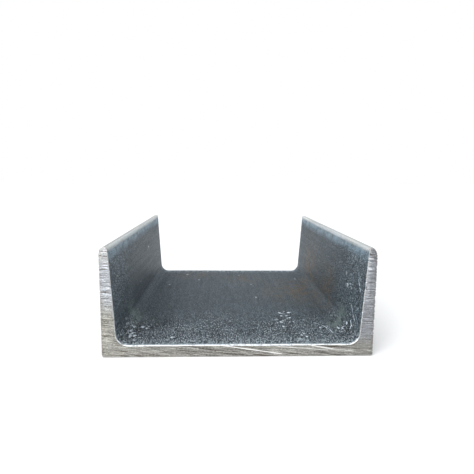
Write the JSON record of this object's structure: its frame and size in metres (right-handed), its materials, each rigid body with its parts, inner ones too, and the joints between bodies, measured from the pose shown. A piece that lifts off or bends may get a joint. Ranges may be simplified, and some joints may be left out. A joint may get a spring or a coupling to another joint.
{
  "type": "stainless steel channel",
  "caption": "Short sawn length of hot-rolled stainless steel channel: a flat web between tapered flanges with rounded toes, stock for frames, brackets and supports.",
  "frame": {"origin": "under the middle of the bar, on the web's outer face, which lies on the floor", "axes": "+Y along the bar, away from the sawn end that the picture shows; +Z from the web towards the flanges' toes; +X across the web"},
  "size_m": [0.14, 0.18, 0.057],
  "materials": {
    "rolled_steel": "hot rolled and pickled, matt grey, with bright sawn ends"
  },
  "bodies": {
    "root": {"channel": "rolled_steel"}
  },
  "joints": []
}
